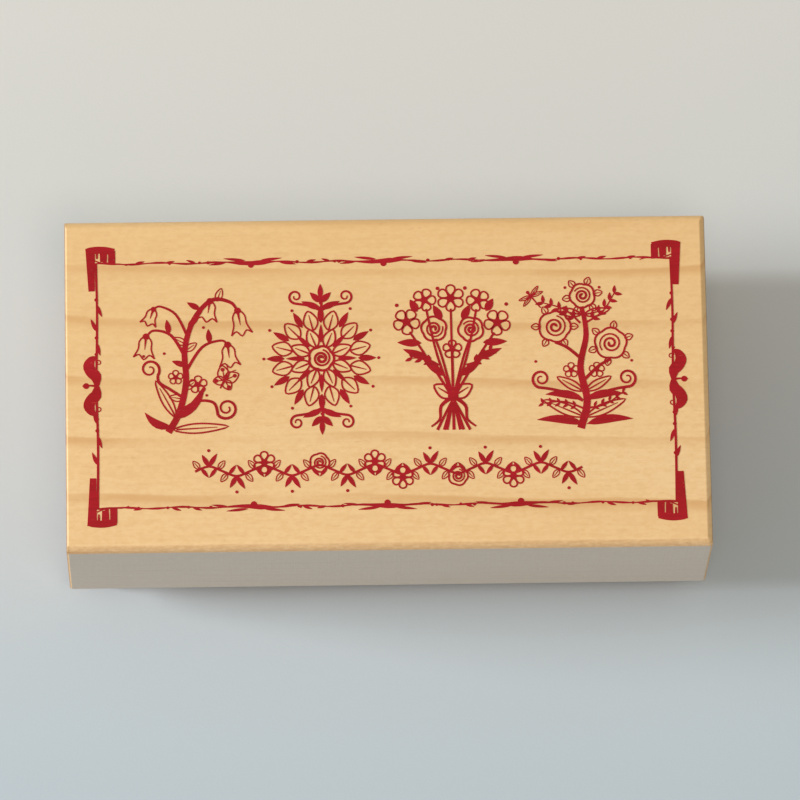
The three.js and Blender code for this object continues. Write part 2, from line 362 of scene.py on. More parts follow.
def maple(name):
    material, tree, shader = new_material(name)
    split = split_in_mm(tree)
    line = ring_lines(tree, split.outputs["X"])
    fibre = grain(tree, FIBRE_STRETCH, 3.0, 0.6)
    fleck = grain(tree, (0.8, 3.4, 1.6), 2.0, 0.6)
    pale = pale_wood(tree, split.outputs["Y"], fibre, fleck)
    colour = blend(tree, maths(tree, "MULTIPLY", line, 0.62), pale, srgb(214, 156, 92))

    facing = tree.nodes.new("ShaderNodeSeparateXYZ")
    where = tree.nodes.new("ShaderNodeTexCoord")
    tree.links.new(where.outputs["Normal"], facing.inputs[0])
    side = fade(tree, maths(tree, "ABSOLUTE", facing.outputs["Y"]), 0.93, 0.995)
    end = fade(tree, facing.outputs["X"], 0.85, 0.98)
    # The left end's dark colour starts further up the eased edge than the right's: painted shade that
    # dims the lamp's light there.
    end = maths(tree, "ADD", end, fade(tree, facing.outputs["X"], -0.9, -0.45, 1.0, 0.0))
    # Front-facing mask: sanded texture in the bump; its browner tint on the front edge and face is partly
    # sanding, partly painted shade.
    sanded_and_shaded = fade(tree, facing.outputs["Y"], -0.5, -0.2, 1.0, 0.0)
    fuzz = grain(tree, (1.2, 3, 3), 3.0, 0.65)
    sanded_and_shaded = maths(tree, "MULTIPLY", sanded_and_shaded, fade(tree, fuzz, 0.3, 0.65, 0.1, 0.5))
    colour = blend(tree, sanded_and_shaded, colour, srgb(206, 152, 94))
    # Painted shade: the long sides are mixed most of the way to pale grey, partly paler sawn wood and
    # partly the cool shade they stand in.
    grey_and_shaded_sides = blend(tree, 0.68, colour, srgb(212, 204, 190))
    colour = blend(tree, side, colour, grey_and_shaded_sides)
    pores = grain(tree, (1, 7, 7), 2.0, 0.7)
    cut_across = blend(tree, maths(tree, "MULTIPLY", line, 0.5), colour, srgb(196, 130, 70))
    cut_across = blend(tree, 1.0, cut_across, (0.40, 0.34, 0.34), "MULTIPLY")
    cut_across = tint(tree, cut_across, pores, 0.5, 0.68, 0.5, srgb(120, 80, 50))
    colour = blend(tree, end, colour, cut_across)
    tree.links.new(colour, shader.inputs["Base Color"])
    tree.links.new(fade(tree, fibre, 0.3, 0.7, 0.46, 0.58), shader.inputs["Roughness"])

    saw_marks = grain(tree, (2.2, 0.3, 0.12), 2.0, 0.6)
    rough_sides = maths(tree, "MULTIPLY", saw_marks, maths(tree, "ADD", side, end))
    height = maths(tree, "ADD", fibre, maths(tree, "MULTIPLY", fleck, 0.5))
    height = maths(tree, "ADD", height, maths(tree, "MULTIPLY", rough_sides, 1.5))
    height = maths(tree, "ADD", height, maths(tree, "MULTIPLY", sanded_and_shaded, 2.0))
    bump(tree, shader, height, 0.02)
    return material


print("rings are", RING_SPACING, "mm apart, round a heart at", RING_HEART, "mm")


# %% [markdown]
# ## Wood block
# The block is a plain sawn bar, sanded so that its edges are eased: the two long top edges the
# most, where the fingers hold it, the ends less, the others hardly at all. A cube gets a
# bevel weight on each kind of edge, and one bevel modifier then rounds them all by their share.
# Weighted normals keep the six large faces truly flat in the light beside their soft edges.
# The block stops three hundredths of a millimetre below its full height, because the print
# lies on it.

# %% Wood block
INK_FILM = 0.03 * MM
EDGE_SHARES = {"along_top": 1.0, "left_top": 0.32, "right_top": 0.7, "upright": 0.3, "under": 0.2}


def model_block():
    deselect_all()
    low = wood_low
    high = wood_high - Vector((0, 0, INK_FILM))
    bpy.ops.mesh.primitive_cube_add(size=1, location=(low + high) / 2, scale=high - low)
    block = start_piece("maple_block")
    near = 1e-5

    def along_top(a, b):
        return a.z > high.z - near and b.z > high.z - near and abs(a.y - b.y) < near

    def left_top(a, b):
        return min(a.z, b.z) > high.z - near and max(a.x, b.x) < low.x + near

    def right_top(a, b):
        return min(a.z, b.z) > high.z - near and min(a.x, b.x) > high.x - near

    def upright(a, b):
        return abs(a.z - b.z) > near

    def under(a, b):
        return a.z < low.z + near and b.z < low.z + near

    for wanted in (along_top, left_top, right_top, upright, under):
        select_edges(block, wanted)
        bpy.ops.transform.edge_bevelweight(value=EDGE_SHARES[wanted.__name__])
        bpy.ops.object.mode_set(mode="OBJECT")
    bevel = block.modifiers.new("eased_edges", "BEVEL")
    bevel.limit_method = "WEIGHT"
    bevel.width = EASE
    bevel.segments = 6
    bevel.profile = 0.44
    bpy.ops.object.modifier_apply(modifier=bevel.name)
    bpy.ops.object.shade_smooth_by_angle(angle=math.radians(20))
    flat_faces = block.modifiers.new("flat_faces", "WEIGHTED_NORMAL")
    flat_faces.keep_sharp = True
    bpy.ops.object.modifier_apply(modifier=flat_faces.name)
    block.data.materials.append(maple("maple_wood"))
    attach(block, "root")
    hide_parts("wood_block")
    return block


maple_block = model_block()
print("block faces:", len(maple_block.data.polygons))


# %% [markdown]
# ## The picture
# The picture is drawn once and used twice: as ink on the wood and as raised rubber. It is a
# row of four plants over a leafy garland, inside a twig frame with rolled corners. Each line
# of the drawing is a pen stroke: the points that the pen passes through, and half the width of
# the line at each of them, in millimetres from the middle of the block. Strokes are kept as
# plain numbers until a pen drags a real section along them.

# %% Lines and leaves
LEAF_STEPS = 7
DOT_STEPS = 6
THINNEST = 0.02


def smooth(points, steps=4, closed=False):
    """Rounds a line through given points: steps points between each two, on a Catmull-Rom curve."""
    count = len(points)
    spans = count if closed else count - 1
    line = []
    for i in range(spans):
        if closed:
            a, b, c, d = (points[(i + k) % count] for k in (-1, 0, 1, 2))
        else:
            a, b = points[max(i - 1, 0)], points[i]
            c, d = points[i + 1], points[min(i + 2, count - 1)]
        for s in range(steps):
            t = s / steps
            line.append(tuple(
                0.5 * (2 * q + (r - p) * t + (2 * p - 5 * q + 4 * r - w) * t * t
                       + (3 * q - p - 3 * r + w) * t ** 3)
                for p, q, r, w in zip(a, b, c, d)))
    if not closed:
        line.append(tuple(points[-1]))
    return line


def vine(points, start, end, steps=5, swell=0.0):
    """A rounded line whose full width goes from start to end, with a swelling halfway."""
    line = smooth(points, steps)
    last = len(line) - 1
    widths = []
    for i in range(last + 1):
        t = i / last
        widths.append((start + (end - start) * t + swell * math.sin(math.pi * t)) / 2)
    return [(line, widths, False)]


def turned(x, y, degrees, across, up):
    """The point that lies across and up from x, y once that direction is turned."""
    c, s = math.cos(math.radians(degrees)), math.sin(math.radians(degrees))
    return x + across * c - up * s, y + across * s + up * c


def solid_leaf(x, y, degrees, length, width, bend=0.0):
    """A filled leaf: one stroke that swells and runs out in a point."""
    line, widths = [], []
    for i in range(LEAF_STEPS + 1):
        t = i / LEAF_STEPS
        line.append(turned(x, y, degrees, length * t, bend * math.sin(math.pi * t)))
        inside = 0 < i < LEAF_STEPS
        widths.append(THINNEST + width / 2 * math.sin(math.pi * t ** 0.8) ** 0.9 if inside else THINNEST)
    return [(line, widths, False)]


def open_leaf(x, y, degrees, length, width, pen=0.17):
    """A leaf drawn as an outline with a vein."""
    edge = [(0, 0), (0.28, 0.43), (0.62, 0.42), (1, 0), (0.62, -0.42), (0.28, -0.43)]
    loop = [turned(x, y, degrees, length * a, width * b) for a, b in edge]
    line = smooth(loop, 3, closed=True)
    vein = [turned(x, y, degrees, length * t, 0) for t in (0.05, 0.4, 0.8)]
    return [(line, [pen / 2] * len(line), True)] + [(vein, [pen / 2, pen / 2.4, pen / 5], False)]


def dot(x, y, radius):
    """A filled round spot: a short stroke as wide as it is long."""
    line, widths = [], []
    for i in range(DOT_STEPS + 1):
        a = math.pi * i / DOT_STEPS
        line.append((x - radius * math.cos(a), y))
        widths.append(max(radius * math.sin(a), radius * 0.25))
    return [(line, widths, False)]


print("a leaf is", len(solid_leaf(0, 0, 0, 1, 1)), "stroke of", LEAF_STEPS + 1, "points")


# %% [markdown]
# ### Flowers, curls and bells
# The flowers are small figures made of a few strokes each. A petal is an open leaf without its
# vein, a rose is a spiral in a scalloped rim, and a bell is two sides and a wavy lip.

# %% Flowers, curls and bells
ROSE_STEPS = 40


def flower(x, y, radius, petals=5, pen=0.17, turn=90, heart=0.24):
    """Petals as outlines round a filled heart."""
    strokes = dot(x, y, radius * heart)
    reach = radius * 0.64
    width = min(2 * reach * math.sin(math.pi / petals), radius * 0.8)
    for k in range(petals):
        angle = turn + 360 * k / petals
        edge = [(0.22, 0), (0.55, 0.46), (0.86, 0.44), (1.0, 0.0), (0.86, -0.44), (0.55, -0.46)]
        loop = [turned(x, y, angle, radius * a, width * b) for a, b in edge]
        line = smooth(loop, 3, closed=True)
        strokes.append((line, [pen / 2] * len(line), True))
    return strokes


def rose(x, y, radius, pen=0.2, turn=0):
    """Petals curling round a heart: a spiral inside a scalloped rim."""
    spiral, widths = [], []
    for i in range(ROSE_STEPS + 1):
        t = i / ROSE_STEPS
        spiral.append(turned(x, y, turn + 800 * t, radius * (0.08 + 0.62 * t), 0))
        widths.append(pen / 2 * (1.4 - 0.7 * t))
    rim = []
    for i in range(ROSE_STEPS):
        a = 360 / ROSE_STEPS * i
        reach = radius * (0.9 + 0.1 * abs(math.cos(math.radians(2.5 * a + turn))))
        rim.append(turned(x, y, a, reach, 0))
    return [(spiral, widths, False), (rim, [pen / 2] * len(rim), True)]


def curl(x, y, radius, turns, start_deg, direction, wide, thin, steps=28):
    """A tendril that rolls in: from radius away at the start angle, round its middle."""
    line, widths = [], []
    for i in range(steps + 1):
        t = i / steps
        angle = start_deg + direction * 360 * turns * t
        line.append(turned(x, y, angle, radius * (1 - 0.78 * t), 0))
        widths.append((wide + (thin - wide) * t) / 2)
    return [(line, widths, False)]


def bell(x, y, degrees, length, width, pen=0.18):
    """A hanging bellflower seen from the side, with a turned-out lip and three teeth."""
    side = [(0, 0.12), (0.25, 0.36), (0.6, 0.38), (1.0, 0.62)]
    strokes = []
    for sign in (-1, 1):
        line = smooth([turned(x, y, degrees, length * a, sign * width * b) for a, b in side], 3)
        strokes.append((line, [pen / 2] * len(line), False))
    lip = [(1.0, -0.62), (0.86, -0.3), (1.08, 0.0), (0.86, 0.3), (1.0, 0.62)]
    line = smooth([turned(x, y, degrees, length * a, width * b) for a, b in lip], 3)
    strokes.append((line, [pen / 2] * len(line), False))
    tongue = [turned(x, y, degrees, length * a, 0) for a in (0.05, 0.3, 0.62)]
    strokes.append((tongue, [0.16, 0.11, 0.03], False))
    strokes += dot(*turned(x, y, degrees, 0.02, 0), width * 0.2)
    return strokes


print("a rose is", len(rose(0, 0, 1)), "strokes, a bell", len(bell(0, 0, 0, 1, 1)))


# %% [markdown]
# ### Small companions
# A side shoot, a butterfly and a dragonfly are drawn once and set wherever a plant needs them.

# %% Shoot, butterfly and dragonfly
def twig(x, y, degrees, length, leaves, size):
    """A fine side shoot with small leaves set in pairs."""
    tip = turned(x, y, degrees, length, length * 0.14)
    middle = turned(x, y, degrees, length * 0.5, -length * 0.04)
    strokes = vine([(x, y), middle, tip], 0.26, 0.12)
    for k in range(leaves):
        t = (k + 1) / leaves
        base = turned(x, y, degrees, length * t, length * (0.14 * t * t - 0.04 * t * (1 - t) * 2))
        for side in (-1, 1):
            strokes += solid_leaf(*base, degrees + side * 48, size, size * 0.42)
    return strokes


def butterfly(x, y, degrees, size):
    """Two pairs of open wings on a short body, with feelers."""
    strokes = []
    for side in (-1, 1):
        for lift, length, width in ((38, 1.0, 0.78), (122, 0.74, 0.62)):
            angle = degrees + side * lift
            strokes += open_leaf(x, y, angle, size * length, size * width, 0.17)
            strokes += dot(*turned(x, y, angle, size * length * 0.72, 0), size * 0.13)
        tip = turned(x, y, degrees, size * 0.95, side * size * 0.34)
        strokes += vine([(x, y), turned(x, y, degrees, size * 0.6, side * size * 0.08), tip], 0.14, 0.1)
    ends = [turned(x, y, degrees, size * along, 0) for along in (0.3, 0, -0.62)]
    return strokes + vine(ends, 0.26, 0.14, 4, 0.12)


def dragonfly(x, y, degrees, size):
    """Four narrow wings across a long thin body."""
    strokes = vine([turned(x, y, degrees, size * along, 0) for along in (0.35, 0, -1.2)], 0.3, 0.12)
    strokes += dot(*turned(x, y, degrees, size * 0.4, 0), 0.2)
    for side in (-1, 1):
        for lift in (72, 106):
            strokes += open_leaf(x, y, degrees + side * lift, size, size * 0.3, 0.13)
    return strokes


print("a butterfly is", len(butterfly(0, 0, 0, 1)), "strokes")


# %% [markdown]
# ### The four plants
# Each plant stands round its own middle and is about eighteen millimetres high. Where a plant
# is even, one loop over the two sides draws both halves.

# %% Bellflower
def bellflower():
    """Four bells on arching stalks over strap leaves, with a tendril and a butterfly."""
    stalk = [(-2.6, -8.6), (-1.3, -6.2), (-0.5, -2.6), (-0.6, 1.4)]
    stalk += [(0.5, 5.0), (2.6, 7.3), (4.8, 7.0), (5.6, 5.9)]
    strokes = vine(stalk, 0.8, 0.26, 6, 0.1)
    for (x, y), angle, length in (((5.6, 6.0), -80, 2.9), ((2.4, 7.2), -100, 2.4)):
        strokes += bell(x, y, angle, length, 2.0)
    strokes += vine([(-0.62, 0.6), (-2.2, 3.1), (-4.2, 3.7), (-5.1, 2.9)], 0.4, 0.22)
    strokes += bell(-5.1, 3.0, -96, 2.6, 2.0)
    strokes += vine([(-0.3, 3.0), (-1.6, 5.6), (-3.4, 6.6), (-4.2, 6.3)], 0.34, 0.2)
    strokes += bell(-4.2, 6.3, -110, 2.0, 1.6)
    strokes += vine([(-0.55, -1.4), (1.4, 1.6), (3.6, 2.4), (4.4, 1.9)], 0.38, 0.22)
    strokes += bell(4.4, 1.9, -84, 2.6, 2.0)
    for x, y, angle, length in ((-2.2, -8.0, 150, 3.6), (-1.5, -7.0, 52, 5.2)):
        strokes += solid_leaf(x, y, angle, length, 0.95, 0.5 if angle > 90 else -0.5)
    for x, y, angle, length in ((-1.7, -6.8, 118, 5.0), (-2.0, -8.3, 3, 6.4)):
        strokes += open_leaf(x, y, angle, length, 1.2, 0.2)
    strokes += curl(4.2, -5.8, 1.3, 1.5, 220, 1, 0.36, 0.18)
    strokes += vine([(-1.2, -6.0), (0.8, -4.9), (2.7, -5.1), (3.2, -6.64)], 0.3, 0.36)
    strokes += curl(-4.7, -1.0, 1.2, 1.4, -40, 1, 0.34, 0.16)
    strokes += vine([(-0.9, -4.4), (-2.4, -3.4), (-3.6, -2.6), (-3.78, -1.77)], 0.34, 0.34)
    for x, y, angle in ((-0.2, 4.2, 40), (1.2, 6.2, 150), (-0.5, -0.6, 160),
                        (2.3, 2.1, 95), (-2.4, 3.3, 100)):
        strokes += solid_leaf(x, y, angle, 1.7, 0.66)
    for x, y, angle in ((-0.6, -3.4, 38), (-0.9, -4.6, 170), (-0.55, 1.2, 35),
                        (-0.5, 2.0, 150), (3.2, 7.2, 70)):
        strokes += open_leaf(x, y, angle, 1.6, 0.85, 0.15)
    strokes += flower(0.9, -2.9, 1.05, 5, 0.17) + flower(-1.7, -2.0, 0.85, 5, 0.15)
    for x, y in ((1.9, -4.2), (-3.0, 0.9), (1.6, 4.0), (-5.4, 0.6)):
        strokes += dot(x, y, 0.17)
    return strokes + butterfly(4.0, -2.4, 62, 1.8)


print("bellflower:", len(bellflower()), "strokes")

# %% Full flower
def rosette():
    """A full-blown flower seen from above, with leafy shoots that stretch it to an oval."""
    strokes = rose(0, 0.1, 1.5, 0.3)
    for k in range(8):
        angle = 45 * k + 22.5
        strokes += open_leaf(*turned(0, 0.1, angle, 1.45, 0), angle, 2.3, 1.5, 0.22)
        strokes += solid_leaf(*turned(0, 0.1, angle + 22.5, 1.9, 0), angle + 22.5, 2.2, 0.5)
    for k in range(12):
        angle = 30 * k + 15
        strokes += open_leaf(*turned(0, 0.1, angle, 3.5, 0), angle, 2.4, 1.75, 0.2)
        strokes += solid_leaf(*turned(0, 0.1, angle + 15, 4.3, 0), angle + 15, 2.1, 0.72)
        strokes += dot(*turned(0, 0.1, angle + 15, 6.9 if k % 3 == 1 else 6.7, 0), 0.18)
    for end in (-1, 1):
        strokes += vine([(0, end * 5.2), (0.1, end * 6.8), (0, end * 8.4)], 0.42, 0.2)
        strokes += solid_leaf(0, end * 7.4, end * 90, 1.7, 0.62)
        for side in (-1, 1):
            for rise, lift, length in ((6.1, 22, 2.4), (6.9, 44, 1.7)):
                strokes += solid_leaf(0, end * rise, end * (90 - side * (90 - lift)), length, 0.72)
            strokes += curl(side * 2.9, end * 7.6, 0.85, 1.3, -90 * end, side * end, 0.3, 0.16)
            strokes += vine([(0, end * 5.9), (side * 1.4, end * 6.5), (side * 2.9, end * 6.75)], 0.3, 0.3)
    return strokes


print("full flower:", len(rosette()), "strokes")

# %% Bouquet
def bouquet():
    """Flowers and roses tied into a bunch, with leaves between them."""
    strokes = []
    heads = ((-5.3, 4.4, 1.55, 5), (-3.2, 7.0, 1.35, 5), (-0.1, 7.2, 1.6, 6), (3.1, 6.9, 1.35, 5),
             (5.3, 4.2, 1.55, 5), (-2.1, 3.5, 1.5, 0), (2.2, 3.4, 1.5, 0), (0, 1.0, 1.1, 5))
    for x, y, radius, petals in heads:
        stem = [(-x * 0.36, -8.7), (0.02 * x, -4.8), (x * 0.55, -0.6 + y * 0.12)]
        strokes += vine(stem + [(x * 0.93, y - radius * 0.8)], 0.34, 0.26)
        if petals:
            strokes += flower(x, y, radius, petals, 0.2, 90 + 6 * x, 0.3)
        else:
            strokes += rose(x, y, radius, 0.26, 30 * x)
    for side in (-1, 1):
        strokes += open_leaf(0, -4.7, 90 - side * 58, 2.6, 1.7, 0.24)
        strokes += vine([(0, -4.7), (side * 1.4, -5.8), (side * 1.6, -7.4), (side * 2.6, -8.3)], 0.5, 0.2)
        for x, y, lift, length in ((1.0, -2.2, 40, 3.2), (2.6, -0.2, 22, 3.4), (3.6, 1.8, 2, 2.8),
                                   (1.2, 4.6, 62, 2.0), (4.0, 5.6, 60, 1.7)):
            strokes += solid_leaf(side * x, y, 90 - side * (90 - lift), length, 0.9)
        strokes += twig(side * 1.6, -0.9, 90 - side * 66, 3.2, 3, 0.9)
        strokes += dot(side * 6.4, 6.4, 0.22)
        strokes += dot(side * 1.6, 8.4, 0.22)
    strokes += dot(0, -4.7, 0.62)
    return strokes


print("bouquet:", len(bouquet()), "strokes")

# %% Rose bush
def rose_bush():
    """Three open roses on one stem, between fern leaves and tendrils, with a dragonfly."""
    strokes = vine([(-0.5, -8.7), (0.3, -5.4), (-0.4, -1.4), (0.35, 2.6), (-0.1, 6.0)], 0.9, 0.45, 6, 0.1)
    for x, y, radius, turn, root in ((-3.3, 3.6, 1.9, 0, -0.6), (3.2, 1.5, 1.9, 140, -2.9),
                                     (0.0, 7.3, 1.5, 70, 5.0)):
        if root < 5:
            strokes += vine([(0, root), (x * 0.55, (root + y) / 2 - 0.5), (x, y - radius)], 0.4, 0.32)
        strokes += rose(x, y, radius, 0.24, turn)
        for k in range(6):
            angle = turn + 60 * k
            strokes += open_leaf(*turned(x, y, angle, radius * 0.94, 0), angle, 0.95, 0.8, 0.15)
    for side in (-1, 1):
        for y, lift, length, width in ((-8.2, 6, 5.4, 1.0), (-5.2, 8, 4.4, 0.95)):
            strokes += solid_leaf(side * 0.2, y, 90 - side * (90 - lift), length, width, side * 0.35)
        for y, lift, length, width in ((-7.3, 24, 5.0, 1.3), (-4.2, 30, 3.4, 1.1), (5.0, 12, 3.0, 1.0)):
            strokes += open_leaf(side * 0.2, y, 90 - side * (90 - lift), length, width, 0.2)
        strokes += curl(side * 5.0, -2.7, 1.1, 1.5, -90 + side * 20, side, 0.34, 0.16)
        tendril = [(0.2, -5.4), (2.2, -4.4), (3.9, -3.95), (5.38, -3.73)]
        strokes += vine([(side * x, y) for x, y in tendril], 0.32, 0.34)
        strokes += twig(side * 0.3, 4.0, 90 - side * 52, 4.9, 5, 0.95)
        strokes += twig(side * 0.2, -6.3, 90 - side * 74, 4.6, 5, 0.7)
        strokes += flower(side * 1.5, -1.7, 0.9, 5, 0.15)
        strokes += dot(side * 2.0, 8.3, 0.17)
        strokes += dot(side * 5.6, -0.6, 0.17)
    return strokes + dragonfly(-6.0, 7.3, 128, 1.5)


print("rose bush:", len(rose_bush()), "strokes")


# %% [markdown]
# ### Garland and frame
# Both are built by rule and not by hand. The garland is a wave that bears something on each
# crest. The frame is one twig line, used for both long sides, with a knot for the short sides
# and one rolled corner that is mirrored into the other three.

# %% Garland
def garland():
    """A waving shoot with a leaf pair, a flower or a small rose on every crest."""
    length, waves, rise = 45.0, 7, 0.6
    points = []
    for k in range(waves * 4 + 1):
        points.append((-length / 2 + k * length / waves / 4, rise * math.sin(k * math.pi / 2)))
    strokes = vine(points, 0.28, 0.28, 4)
    for k in range(waves * 2):
        x = -length / 2 + (k + 0.5) * length / waves / 2
        side = 1 if k % 2 == 0 else -1
        y = side * rise
        if k in (2, 6, 7, 11):
            strokes += flower(x, y + side * 0.4, 1.3, 6, 0.2, side * 90, 0.3)
        elif k in (4, 9):
            strokes += rose(x, y + side * 0.3, 1.15, 0.22, 0)
        else:
            strokes += solid_leaf(x, y, side * 58, 1.8, 0.54)
            strokes += solid_leaf(x, y, side * 120, 1.6, 0.54)
            strokes += dot(x, y + side * 1.9, 0.19)
        strokes += solid_leaf(x - 0.9, y * 0.6, -side * 52, 1.4, 0.42)
        strokes += solid_leaf(x + 0.9, y * 0.6, -side * 128, 1.4, 0.42)
        strokes += open_leaf(x - 1.1, y * 0.5, side * 128, 1.2, 0.66, 0.13)
        strokes += open_leaf(x + 1.1, y * 0.5, side * 52, 1.2, 0.66, 0.13)
    return strokes


print("garland:", len(garland()), "strokes")

# %% Frame
SWELLINGS = (-15.3, 0, 15.3)
RULE_STEPS = 96


def rule(length, seed, pen=0.2):
    """One side of the frame: a fine line with three swellings and small knots, like a twig."""
    line, widths = [], []
    for k in range(RULE_STEPS + 1):
        x = (k / RULE_STEPS - 0.5) * length
        swell = sum(math.exp(-((x - c) / 1.9) ** 4) for c in SWELLINGS)
        line.append((x, 0.09 * math.sin(0.9 * x + seed) - 0.12))
        widths.append((pen * (1 + 0.35 * math.sin(2.1 * x + seed)) + 0.36 * swell) / 2)
    strokes = [(line, widths, False)]
    for c in SWELLINGS:
        for side in (-1, 1):
            strokes += solid_leaf(c + side * 0.9, 0.12, 90 - side * 84, 2.5, 0.3)
            strokes += solid_leaf(c + side * 3.2, -0.15, 90 - side * 97, 1.9, 0.26)
            strokes += dot(c + side * 5.2, -0.1, 0.2)
        strokes += dot(c + 0.5 * math.sin(c), -0.42, 0.36)
    for x in (-29, -25.5, -22, -9, -6.2, 7.1, 9.8, 22.6, 25, 28.4):
        strokes += solid_leaf(x, -0.1, 12 + 150 * (math.sin(x * 5 + seed) > 0), 1.1, 0.26)
        strokes += dot(x + 0.5, -0.1 + 0.1 * math.sin(x), 0.17)
    return strokes


def side_knot():
    """The carved swelling in the middle of each short side, drawn for the left one."""
    strokes = []
    for end in (-1, 1):
        spine = [(-0.02, 3.45), (-0.55, 3.2), (-0.92, 2.45), (-0.68, 1.7), (-0.1, 1.1), (0.02, 0.0)]
        line = smooth([(x, end * y) for x, y in spine], 3)
        swell = smooth([(half,) for half in (0.14, 0.42, 0.66, 0.64, 0.66, 0.26)], 3)
        strokes.append((line, [half for half, in swell], False))
        strokes += curl(0.2, end * 2.78, 0.36, 1.1, end * 160, -end, 0.16, 0.1, 12)
        strokes += dot(-0.05, end * 3.8, 0.2)
    strokes += dot(-1.25, 0, 0.36)
    strokes += vine([(-1.7, 0), (-0.9, 0.05), (-0.2, 0)], 0.1, 0.3)
    return strokes


def corner():
    """A rolled corner of the sheet, drawn for the top right one, with the corner at 0, 0."""
    strokes = vine([(-2.1, 1.3), (-1.2, 1.5), (-0.3, 1.56), (0.6, 1.48), (0.95, 1.36)], 0.86, 0.86)
    strokes += vine([(0.66, 1.75), (0.62, 0.2), (0.57, -1.6), (0.52, -3.35)], 1.15, 0.74)
    for x, foot, start, end in ((-2.05, -0.2, 0.4, 0.46), (-1.66, -0.14, 0.46, 0.48),
                                (-1.05, -0.05, 0.56, 0.46), (-0.66, 0.12, 0.5, 0.3),
                                (-0.12, 0.5, 0.34, 0.12)):
        strokes += vine([(x, 1.5), (x, 0.7), (x + 0.02, foot)], start, end)
    strokes += vine([(-2.25, -0.16), (-1.4, -0.12), (-0.6, 0.0), (0.1, 0.28)], 0.2, 0.14)
    strokes += vine([(-3.6, -0.32), (-2.8, -0.12), (-2.0, -0.16)], 0.1, 0.16)
    return strokes


print("frame: rule", len(rule(60, 0)), "knot", len(side_knot()), "corner", len(corner()), "strokes")


# %% [markdown]
# ### Laying the picture out
# The plants stand side by side at an even pitch, a little above the middle, and the garland
# runs below them. The printer's frame sits a hair off centre on the block, as stamped ink does.

# %% Lay the picture out
FRAME_LENGTH = 67.2
FRAME_WIDTH = 29.7
MOTIF_PITCH = 15.3
MOTIF_UP = 2.85
GARLAND_UP = -10.5
FRAME_DOWN = -0.05
FRAME_ASIDE = -0.22


def moved(strokes, x, y, degrees=0.0, flip_x=1, flip_y=1):
    """The strokes flipped or stretched, then turned, then set at x, y."""
    return [([turned(x, y, degrees, flip_x * a, flip_y * b) for a, b in line], widths, closed)
            for line, widths, closed in strokes]


def draw_picture():
    half_l, half_w = FRAME_LENGTH / 2, FRAME_WIDTH / 2
    groups = {}
    for k, draw in enumerate((bellflower, rosette, bouquet, rose_bush)):
        groups[draw.__name__] = moved(draw(), MOTIF_PITCH * (k - 1.5), MOTIF_UP)
    groups["garland"] = moved(garland(), 0, GARLAND_UP)
    frame_lines = moved(rule(FRAME_LENGTH, 0.0), 0, half_w)
    frame_lines += moved(rule(FRAME_LENGTH, 2.0), 0, -half_w, 180)
    for side in (-1, 1):
        x = side * half_l
        post = [(x, -half_w), (x + 0.08, -7), (x - 0.05, 0), (x + 0.08, 8), (x, half_w)]
        frame_lines += vine(post, 0.3, 0.26, 8)
        frame_lines += moved(side_knot(), x, 0, 0, -side)
        for y, lift in ((-9.5, 22), (-6.0, 200), (-4.6, 15), (5.2, 195), (6.6, 24), (9.8, 204)):
            frame_lines += solid_leaf(x, y, 90 - side * lift, 1.6, 0.42)
            frame_lines += dot(x, y + 0.6, 0.22)
        for end in (-1, 1):
            frame_lines += moved(corner(), x, end * half_w, 0, side, 1.02 if end > 0 else -1.12)
    groups["frame_lines"] = moved(frame_lines, FRAME_ASIDE, FRAME_DOWN)
    return groups


picture = draw_picture()
print("pen strokes:", {name: len(strokes) for name, strokes in picture.items()})


# %% [markdown]
# ## A pen that leaves real material
# A curve can drag a small outline, the nib, along its path, and its points' radius says how
# wide the line is there. All strokes of one plant are one curve object, which becomes a mesh
# of closed ribbons. The ribbons are then welded two by two, so that crossing lines
# become one solid with no walls inside.

# %% The pen
def make_nib():
    """The outline that the pen drags: a square two millimetres across, without its face."""
    deselect_all()
    bpy.ops.mesh.primitive_plane_add(size=2 * MM)
    start_piece("nib")
    bpy.ops.object.mode_set(mode="EDIT")
    bpy.ops.mesh.select_all(action="SELECT")
    bpy.ops.mesh.delete(type="ONLY_FACE")
    bpy.ops.object.mode_set(mode="OBJECT")
    bpy.ops.object.convert(target="CURVE")
    return bpy.context.object


def ribbons_of(name, strokes, nib, face, root, spread=0.0):
    """Closed ribbons along the strokes, from face height to root height, wider at the root."""
    path = bpy.data.curves.new(name, "CURVE")
    path.dimensions = "3D"
    path.twist_mode = "Z_UP"
    path.bevel_mode = "OBJECT"
    path.bevel_object = nib
    path.use_fill_caps = True
    for line, widths, closed in strokes:
        spline = path.splines.new("POLY")
        spline.points.add(len(line) - 1)
        spline.use_cyclic_u = closed
        for point, (x, y), half in zip(spline.points, line, widths):
            point.co = (x * MM, y * MM, 0, 1)
            point.radius = half
    deselect_all()
    ribbons = bpy.data.objects.new(name, path)
    bpy.context.collection.objects.link(ribbons)
    bpy.context.view_layer.objects.active = ribbons
    ribbons.select_set(True)
    bpy.ops.object.convert(target="MESH")
    ribbons = bpy.context.object
    points = ribbons.data.vertices
    sections = sum(len(line) + (0 if closed else 2) for line, _, closed in strokes)
    assert len(points) == 4 * sections
    for k in range(0, len(points), 4):
        section = points[k:k + 4]
        middle = sum((point.co for point in section), Vector()) / 4
        for point in section:
            at_face = point.co.z > 0
            aside = (point.co - middle) * Vector((1, 1, 0))
            if not at_face and aside.length > 0:
                point.co += aside.normalized() * spread
            point.co.z = face if at_face else root
    bpy.ops.object.mode_set(mode="EDIT")
    bpy.ops.mesh.select_all(action="SELECT")
    bpy.ops.mesh.remove_doubles(threshold=1e-7)
    bpy.ops.mesh.normals_make_consistent(inside=False)
    bpy.ops.object.mode_set(mode="OBJECT")
    bpy.ops.object.shade_flat()
    return ribbons


print("the pen drags a square nib", 2 * MM, "m wide before the line's width scales it")

